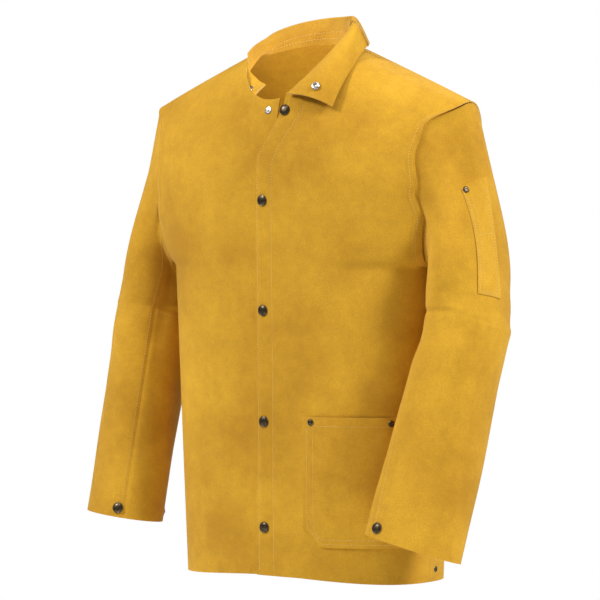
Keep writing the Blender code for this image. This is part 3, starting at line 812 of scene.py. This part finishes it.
# %% Thread and stitch rows
def thread_material():
    coat = bpy.data.materials.new("thread")
    coat.use_nodes = True
    tree = coat.node_tree
    shader = tree.nodes["Principled BSDF"]
    rest = tree.nodes.new("ShaderNodeAttribute")
    rest.attribute_name = "rest"
    fuzz = fine_noise(tree, rest.outputs["Vector"], 900.0, 3.0)
    tint = ramp(tree.nodes, (0.62, 0.37, 0.07), (0.86, 0.60, 0.20), 0.3, 0.7)
    tree.links.new(fuzz, tint.inputs["Fac"])
    tree.links.new(tint.outputs["Color"], shader.inputs["Base Color"])
    shader.inputs["Roughness"].default_value = 0.8
    shader.inputs["Sheen Weight"].default_value = 0.2
    return coat


thread = thread_material()
STITCH_PITCH = 0.0034
STITCH_LENGTH = 0.0025
STITCH_WIDTH = 0.0008
STITCH_HEIGHT = 0.0006
STITCH_LIFT = 0.0001


def stitch_row(shape, form, path, outward):
    """Stitches along a path of (a, b) places on form(a, b), on the side that outward names."""
    points = []
    for (a0, b0), (a1, b1) in zip(path, path[1:]):
        length = (form(a1, b1) - form(a0, b0)).length
        steps = max(1, round(length / 0.001))
        points += [(mix(a0, a1, k / steps), mix(b0, b1, k / steps)) for k in range(steps)]
    points.append(path[-1])
    places = [form(a, b) for a, b in points]
    run = 0.0
    last = STITCH_PITCH / 2
    for k in range(1, len(places) - 1):
        run += (places[k] - places[k - 1]).length
        if run - last < STITCH_PITCH:
            continue
        last = run
        a, b = points[k]
        step = 1e-4
        across = form(a + step, b) - form(a - step, b)
        up = form(a, b + step) - form(a, b - step)
        normal = across.cross(up).normalized()
        if normal.dot(outward(places[k])) < 0.0:
            normal.negate()
        tangent = (places[k + 1] - places[k - 1]).normalized()
        side = tangent.cross(normal)
        turn = Matrix((side * STITCH_WIDTH, normal * STITCH_HEIGHT,
                       tangent * STITCH_LENGTH)).transposed().to_4x4()
        place = Matrix.Translation(places[k] + normal * STITCH_LIFT) @ turn
        bmesh.ops.create_uvsphere(shape, u_segments=6, v_segments=4, radius=0.5, matrix=place)


def stitches(name, form, paths, outward):
    shape = bmesh.new()
    for path in paths:
        stitch_row(shape, form, path, outward)
    piece = piece_from(name, shape, [thread])
    keep_rest(piece.data)
    piece.data.shade_smooth()
    print(name, len(piece.data.polygons) // 24, "stitches")
    return piece


def forward(point):
    return Vector((0.0, -1.0, 0.0))


def backward(point):
    return Vector((0.0, 1.0, 0.0))


def heights(low, high, count=24):
    return [mix(low, high, k / count) for k in range(count + 1)]


# %% Placket, armhole, shoulder and side rows
front_low, front_high = HEM_Z + 0.010, NECK_FRONT_Z - 0.006
placket_rows = [[(left_start(z) + inset, z) for z in heights(front_low, front_high, 60)]
                for inset in PLACKET_ROWS]
corner_rows = [[(x, top_z(x, -1) - inset) for x in heights(0.034, 0.060, 8)]
               for inset in (0.004, 0.009)]
placket_stitches = stitches("placket_stitches", left_surface, placket_rows + corner_rows, forward)
armhole_rows = [(edge_x(z) - SEAM_INSET, z) for z in heights(ARMPIT_Z + 0.004, -0.090)]
front_armhole = [(front_edge_x(z) - SEAM_INSET, z) for z in heights(ARMPIT_Z + 0.004, -0.090, 40)]
shoulder_rows = [(x, ridge_z(x) - 0.0035) for x in heights(NECK_HALF + 0.004, 0.246)]
left_stitches = stitches("left_armhole_stitches", left_surface, [front_armhole, shoulder_rows],
                         forward)
right_stitches = stitches("right_armhole_stitches", right_surface,
                          [[(-x, z) for x, z in row] for row in (front_armhole, shoulder_rows)],
                          forward)
side_rows = [(edge_x(z) * 0.9985, z) for z in heights(HEM_Z + 0.008, ARMPIT_Z - 0.004)]
back_stitches = stitches("back_stitches", back_surface,
                         [[(x * hand, z) for x, z in row] for hand in (1.0, -1.0)
                          for row in (armhole_rows, side_rows)], backward)

# %% Pocket, collar and sleeve rows


def outward_left(point):
    return Vector((1.0, -0.5, 0.0))


def frame_path(inset_u, inset_v, top):
    """Down one side of a patch, along its bottom and up the other side."""
    down = [(inset_u, v) for v in heights(top, inset_v, 20)]
    bottom = [(u, inset_v) for u in heights(inset_u, 1.0 - inset_u, 20)]
    up = [(1.0 - inset_u, v) for v in heights(inset_v, top, 20)]
    return down + bottom[1:] + up[1:]


hip_stitches = stitches("hip_pocket_stitches", pocket_lift,
                        [frame_path(0.025, 0.025, 0.93), frame_path(0.075, 0.06, 0.93),
                         [(u, 0.93) for u in heights(0.03, 0.97, 20)]], forward)


def pen_path(inset_u, inset_v):
    return [(u, 1.0 - v) for u, v in frame_path(inset_u, inset_v, 0.93)]


pen_stitches = stitches("pen_pocket_stitches", pen_form,
                        [pen_path(0.07, 0.025), pen_path(0.20, 0.06),
                         [(u, 0.40) for u in heights(0.1, 0.9, 12)]], outward_left)


def neck_inside(point):
    return Vector((-point.x, -point.y, 0.0))


collar_inner_form = offset_form(collar_band, COLLAR_LAYER + LINING)
collar_stitches = stitches("collar_stitches", collar_inner_form,
                           [[(u, v) for u in heights(0.12, 0.99, 40)] for v in (0.06, 0.13)],
                           neck_inside)

sleeve_stitches = {}
for side, pose in POSES.items():
    hand = pose["hand"]
    for half, form in (("upper", upper_form), ("lower", lower_form)):
        surface = form(pose, 0.0, 2 * pi)

        def arm_out(point, hand=hand, pose=pose):
            axis = pose["biceps"].lerp(pose["cuff"], min(1.0, max(0.0, (-0.315 - point.z) / 0.35)))
            return Vector((point.x - hand * axis.x, point.y - axis.y, 0.0))

        seam_rows = [[((turn * SEAM_ANGLE - turn * 0.07) / (2 * pi), v)
                      for v in heights(0.06 if half == "upper" else 0.01, 0.985, 30)]
                     for turn in (1.0, -1.0)]
        if half == "lower":
            seam_rows.append([(mix(UNDER[0], UNDER[1], u) / (2 * pi), 0.015)
                              for u in heights(0.03, 0.97, 12)])
        sleeve_stitches[side, half] = stitches(f"{side}_{half}_sleeve_stitches", surface,
                                               seam_rows, arm_out)

# %% [markdown]
# ## Snaps and rivets
#
# The snaps are turned and pressed metal: an antique bronze cap outside, a socket behind it, and
# a stud with its post on the other lap. A profile spun round its axis makes each one, which is
# how a turner would cut them. Bronze that has been handled is dark in its hollows and brighter
# on its rim, so the metal's colour and polish vary with fine noise.


# %% Metals
def metal(name, dark, light, smooth_low, smooth_high):
    coat = bpy.data.materials.new(name)
    coat.use_nodes = True
    tree = coat.node_tree
    shader = tree.nodes["Principled BSDF"]
    place = tree.nodes.new("ShaderNodeTexCoord").outputs["Object"]
    wear = fine_noise(tree, place, 420.0, 4.0, 0.6)
    tint = ramp(tree.nodes, dark, light, 0.35, 0.72)
    tree.links.new(wear, tint.inputs["Fac"])
    tree.links.new(tint.outputs["Color"], shader.inputs["Base Color"])
    polish = ramp(tree.nodes, (smooth_high,) * 3, (smooth_low,) * 3, 0.35, 0.72)
    tree.links.new(wear, polish.inputs["Fac"])
    tree.links.new(polish.outputs["Color"], shader.inputs["Roughness"])
    shader.inputs["Metallic"].default_value = 1.0
    return coat


bronze = metal("antique_bronze", (0.045, 0.034, 0.022), (0.16, 0.12, 0.075), 0.28, 0.5)
nickel = metal("nickel", (0.42, 0.40, 0.37), (0.78, 0.76, 0.72), 0.18, 0.38)


def frame_at(point, normal):
    turn = Vector((0.0, 0.0, 1.0)).rotation_difference(normal.normalized())
    return Matrix.Translation(point) @ turn.to_matrix().to_4x4()


def place_on(surface, a, b, outward, step=0.003):
    """Frame on surface(a, b), Z along the normal that points the outward way."""
    across = surface(a + step, b) - surface(a - step, b)
    up = surface(a, b + step) - surface(a, b - step)
    normal = across.cross(up).normalized()
    if normal.dot(outward) < 0.0:
        normal.negate()
    return frame_at(surface(a, b), normal)


def turned(name, profile, place, coat, node, body):
    """A turned piece that stands for its CAD node."""
    shape = bmesh.new()
    verts = [shape.verts.new((radius, 0.0, height)) for radius, height in profile]
    edges = [shape.edges.new(pair) for pair in zip(verts, verts[1:])]
    bmesh.ops.spin(shape, geom=verts + edges, cent=(0, 0, 0), axis=(0, 0, 1), angle=2 * pi,
                   steps=32, use_merge=True)
    bmesh.ops.remove_doubles(shape, verts=shape.verts, dist=1e-6)
    bmesh.ops.recalc_face_normals(shape, faces=shape.faces)
    bmesh.ops.transform(shape, matrix=place, verts=shape.verts)
    piece = piece_from(name, shape, [coat])
    piece.data.shade_smooth()
    piece.data.set_sharp_from_angle(angle=radians(38))
    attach(piece, body)
    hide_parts(node)
    return piece


# %% Profiles
SHANK = 0.0015
METAL_GAP = 0.0001


def cap(name, place, stack, node, body):
    profile = [(0.0, 0.0030), (0.0030, 0.0029), (0.0048, 0.0025), (0.0058, 0.0019),
               (0.0062, 0.0017), (0.0066, 0.0019), (0.0072, 0.0017), (0.0076, 0.0011),
               (0.0076, 0.0004), (0.0071, 0.0001), (SHANK, 0.0001), (SHANK, -stack),
               (0.0, -stack)]
    return turned(name, profile, place, bronze, node, body)


def socket(name, place, stack, node, body):
    top = -stack - METAL_GAP
    profile = [(0.0, top), (0.0056, top), (0.0058, top - 0.0007), (0.0054, top - 0.0014),
               (0.0046, top - 0.0018), (0.0038, top - 0.0018), (0.0032, top - 0.0014),
               (0.0027, top - 0.0016), (0.0023, top - 0.0014), (0.0023, top - 0.0004),
               (0.0, top - 0.0004)]
    return turned(name, profile, place, nickel, node, body)


def stud(name, place, node, body):
    profile = [(0.0, 0.0017), (0.0010, 0.00165), (0.0017, 0.0015), (0.0020, 0.0012),
               (0.0018, 0.0009), (0.0016, 0.0007), (0.0030, 0.0006), (0.0046, 0.0007),
               (0.0052, 0.0004), (0.0050, 0.0001), (0.0, 0.0001)]
    return turned(name, profile, place, nickel, node, body)


def post(name, place, stack, node, body):
    low = -stack - METAL_GAP
    profile = [(0.0, 0.0), (SHANK, 0.0), (SHANK, low), (0.0050, low), (0.0053, low - 0.0003),
               (0.0048, low - 0.0009), (0.0030, low - 0.0011), (0.0, low - 0.0011)]
    return turned(name, profile, place, nickel, node, body)


def rivet(name, place, stack, node, body):
    low = -stack - METAL_GAP
    profile = [(0.0, 0.0010), (0.0010, 0.0011), (0.0016, 0.0017), (0.0024, 0.0019),
               (0.0034, 0.0016), (0.0043, 0.0009), (0.0046, 0.0004), (0.0044, 0.0001),
               (SHANK, 0.0001), (SHANK, low), (0.0040, low), (0.0040, low - 0.0007),
               (0.0, low - 0.0007)]
    return turned(name, profile, place, bronze, node, body)


# %% Front snaps
TOWARDS = Vector((0.0, -1.0, 0.0))
for number, z in enumerate(SNAP_Z, 1):
    node = f"front_snap_{number}"
    x = UNDONE_X if number == 1 else 0.0
    stack = LEATHER + 2 * GAP + LINING + (TOP_SLACK if number == 1 else 0.0)
    over = place_on(left_surface, x, z, TOWARDS)
    under = place_on(right_surface, 0.0, z, TOWARDS)
    cap(f"front_cap_{number}", over, stack, f"{node}_cap", "front_flap")
    socket(f"front_socket_{number}", over, stack, f"{node}_socket", "front_flap")
    stud(f"front_stud_{number}", under, f"{node}_stud", "torso")
    post(f"front_post_{number}", under, stack, f"{node}_post", "torso")
print("front snaps:", len(SNAP_Z))

# %% Collar and cuff snaps
stack = 2 * LINING + COLLAR_LAYER + 0.0004
below = offset_form(collar_end_point, -COLLAR_LAYER - LINING - 0.0002)
over = place_on(below, 0.86, 0.50, Vector((0.0, 1.0, -0.5)))
cap("collar_cap", over, stack, "collar_snap_cap", "collar_left_end")
socket("collar_socket", over, stack, "collar_snap_socket", "collar_left_end")
under = place_on(offset_form(collar_band, -0.0002), 0.045, 0.50, Vector((-1.0, -0.6, 0.0)))
stud("collar_stud", under, "collar_snap_stud", "torso")
post("collar_post", under, stack, "collar_snap_post", "torso")

CUFF_CAP = radians(117)
CUFF_STUD = radians(212)
CUFF_SNAP_V = 0.955
for side, pose in POSES.items():
    hand = pose["hand"]
    form = lower_form(pose, 0.0, 2 * pi)
    body = f"{side}_forearm"
    for kind, angle in (("cap", CUFF_CAP), ("stud", CUFF_STUD)):
        place = place_on(form, angle / (2 * pi), CUFF_SNAP_V,
                         Vector((hand * cos(angle), -sin(angle), 0.0)))
        node = f"{side}_cuff_snap"
        if kind == "cap":
            cap(f"{side}_cuff_cap", place, LEATHER, f"{node}_cap", body)
            socket(f"{side}_cuff_socket", place, LEATHER, f"{node}_socket", body)
        else:
            stud(f"{side}_cuff_stud", place, f"{node}_stud", body)
            post(f"{side}_cuff_post", place, LEATHER, f"{node}_post", body)

# %% Rivets
stack = PATCH_LIFT + LEATHER
for name, u in (("front", 0.06), ("side", 0.88)):
    place = place_on(pocket_lift, u, 0.955, TOWARDS)
    rivet(f"hip_rivet_{name}", place, stack, f"hip_pocket_rivet_{name}", "torso")
place = place_on(pen_form, 0.10, 0.030, Vector((1.0, -0.5, 0.0)))
rivet("pen_rivet", place, stack, "pen_pocket_rivet", "left_upper_sleeve")
for name, u0, u1, hand in (("left", 1.0, 0.97, 1.0), ("right", 0.0, 0.03, -1.0)):
    middle = (back_point(u0, 0.018) + back_point(u1, 0.018)) / 2.0
    along_hem = back_point(u1, 0.018) - back_point(u0, 0.018)
    normal = along_hem.cross(Vector((0.0, 0.0, 1.0)))
    if normal.x * hand < 0.0:
        normal.negate()
    rivet(f"{name}_hem_stud", frame_at(middle, normal), LEATHER, f"{name}_hem_rivet", "torso")

# %% [markdown]
# ## What moves with what
#
# The body of the jacket carries the back, the right front and the collar, and the front flap
# carries the left front's facing and its placket stitches. The left front opens along a fold
# line. The left front itself, the collar's left end and the sleeves keep their places, and the
# pen pocket goes with the left upper sleeve.

# %% Bodies
for piece in (back, right_front, right_facing, hip_pocket, hip_stitches, back_stitches,
              left_stitches, right_stitches, collar_under, collar_top, left_stand,
              collar_stitches):
    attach(piece, "torso")
for piece in (left_facing, placket_stitches):
    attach(piece, "front_flap")
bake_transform(left_front)

for piece in (end_top, end_under):
    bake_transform(piece)

for side, pose in POSES.items():
    hand = pose["hand"]
    for part in ("top", "under"):
        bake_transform(sleeves[side, part, "upper"])
    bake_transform(sleeve_stitches[side, "upper"])
    for piece in (sleeves[side, "top", "lower"], sleeves[side, "under", "lower"],
                  sleeve_stitches[side, "lower"]):
        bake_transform(piece)
for piece in (pen_pocket, pen_stitches):
    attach(piece, "left_upper_sleeve")

# %% [markdown]
# ## Names of the CAD pieces, finishes and cut sizes
#
# Each panel stands for its CAD solid, which is hidden, and is listed with a finish and the
# size of the hide that it is cut from. The area of each panel is printed beside its cut size.

# %% Panels and their cut sizes
cuts = [
    (back, ["back_panel"], "hide", (0.60, 0.76), []),
    (right_front, ["right_front_panel"], "hide", (0.34, 0.76), []),
    (left_front, ["left_front_panel", "left_front_placket"], "hide", (0.34, 0.76), []),
    (left_facing, ["left_placket_facing"], "hide_inner", (0.035, 0.65), []),
    (right_facing, ["right_placket_facing"], "hide_inner", (0.035, 0.65), []),
    (hip_pocket, ["hip_pocket"], "hide_pocket", (0.14, 0.176), []),
    (pen_pocket, ["pen_pocket"], "hide_pocket", (0.055, 0.165), []),
    (collar_under, ["collar_outer"], "hide", (0.36, 0.042), []),
    (collar_top, ["collar_inner"], "hide_inner", (0.36, 0.042), []),
    (left_stand, ["collar_left_stand"], "hide_inner", (0.062, 0.030), []),
    (end_top, ["collar_left_end_inner"], "hide", (0.125, 0.06), []),
    (end_under, ["collar_left_end_outer"], "hide_inner", (0.125, 0.06), []),
]
SLEEVE_CUTS = {("top", "upper"): (0.32, 0.27), ("under", "upper"): (0.10, 0.13),
               ("top", "lower"): (0.28, 0.31), ("under", "lower"): (0.10, 0.31)}
for side in POSES:
    for part, kind in (("top", "top_sleeve"), ("under", "under_sleeve")):
        for half in ("upper", "lower"):
            size = SLEEVE_CUTS[part, half]
            cuts.append((sleeves[side, part, half], [f"{side}_{kind}_{half}"], "hide_sleeve",
                         size, []))
for piece, nodes, finish, flat, trim in cuts:
    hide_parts(*nodes)
    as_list(trim)
    area = sum(face.area for face in piece.data.polygons) / 2
    print(piece.name, "area", round(area, 4), "cut", round(flat[0] * flat[1], 4))

# %% [markdown]
# ## Floor, light and camera
#
# A pale floor lies well below the hanging jacket. One lamp stands above the right front and one
# beside the left sleeve, which throws a shade on the body. A soft lamp overhead and one behind
# lift the shoulders and the back. A very small lamp inside the neck shows the inner collar.

# %% Floor
FLOOR_RADIUS = 2.1
FLOOR_Z = -1.05
shape = bmesh.new()
bmesh.ops.create_circle(shape, cap_ends=True, segments=96, radius=FLOOR_RADIUS)
floor_coat = bpy.data.materials.new("floor")
floor_coat.use_nodes = True
floor_coat.node_tree.nodes["Principled BSDF"].inputs["Base Color"].default_value = (0.92, 0.92, 0.92, 1)
floor_coat.node_tree.nodes["Principled BSDF"].inputs["Roughness"].default_value = 0.9
bmesh.ops.translate(shape, vec=(0.0, 0.0, FLOOR_Z), verts=shape.verts)
floor = piece_from("floor", shape, [floor_coat])


# %% Lights
def area_light(name, place, size, power, aim):
    light = bpy.data.lights.new(name, "AREA")
    light.shape = "SQUARE"
    light.size = size
    light.energy = power
    made = bpy.data.objects.new(name, light)
    made.location = place
    made.rotation_euler = (Vector(aim) - Vector(place)).to_track_quat("-Z", "Y").to_euler()
    made.visible_camera = False
    bpy.context.scene.collection.objects.link(made)


MIDDLE = (0.0, 0.0, -0.36)
area_light("front", (-1.45, -2.0, 1.8), 0.7, 86.0, MIDDLE)
area_light("side", (2.9, 0.0, 1.6), 0.7, 100.0, MIDDLE)
area_light("top", (0.2, -1.6, 3.6), 1.2, 40.0, MIDDLE)
area_light("rim", (0.5, 2.6, 1.8), 2.0, 26.0, MIDDLE)
area_light("neck", (0.045, -0.045, -0.105), 0.05, 0.24, (-0.035, 0.08, -0.010))
world = bpy.data.worlds.new("surround")
bpy.context.scene.world = world
world.use_nodes = True
nodes = world.node_tree.nodes
surround = nodes["Background"]
surround.inputs["Color"].default_value = (1.0, 1.0, 1.0, 1.0)
surround.inputs["Strength"].default_value = 0.16
seen = nodes.new("ShaderNodeBackground")
seen.inputs["Strength"].default_value = 1.0
seen.inputs["Color"].default_value = (1.0, 1.0, 1.0, 1.0)
ray = nodes.new("ShaderNodeLightPath")
either = nodes.new("ShaderNodeMixShader")
world.node_tree.links.new(ray.outputs["Is Camera Ray"], either.inputs[0])
world.node_tree.links.new(surround.outputs[0], either.inputs[1])
world.node_tree.links.new(seen.outputs[0], either.inputs[2])
world.node_tree.links.new(either.outputs[0], nodes["World Output"].inputs["Surface"])
bpy.context.scene.view_settings.view_transform = "Standard"

# %% Camera
AZIMUTH = radians(35)
ELEVATION = radians(2)
DISTANCE = 5.0
camera_data = bpy.data.cameras.new("camera")
camera_data.lens = 217.0
camera_data.shift_x = -14.0 / 600.0
camera_data.shift_y = 10.9 / 600.0
camera = bpy.data.objects.new("camera", camera_data)
away = Vector((sin(AZIMUTH) * cos(ELEVATION), -cos(AZIMUTH) * cos(ELEVATION), sin(ELEVATION)))
camera.location = Vector(MIDDLE) + away * DISTANCE
camera.rotation_euler = (-away).to_track_quat("-Z", "Y").to_euler()
bpy.context.scene.collection.objects.link(camera)
bpy.context.scene.camera = camera
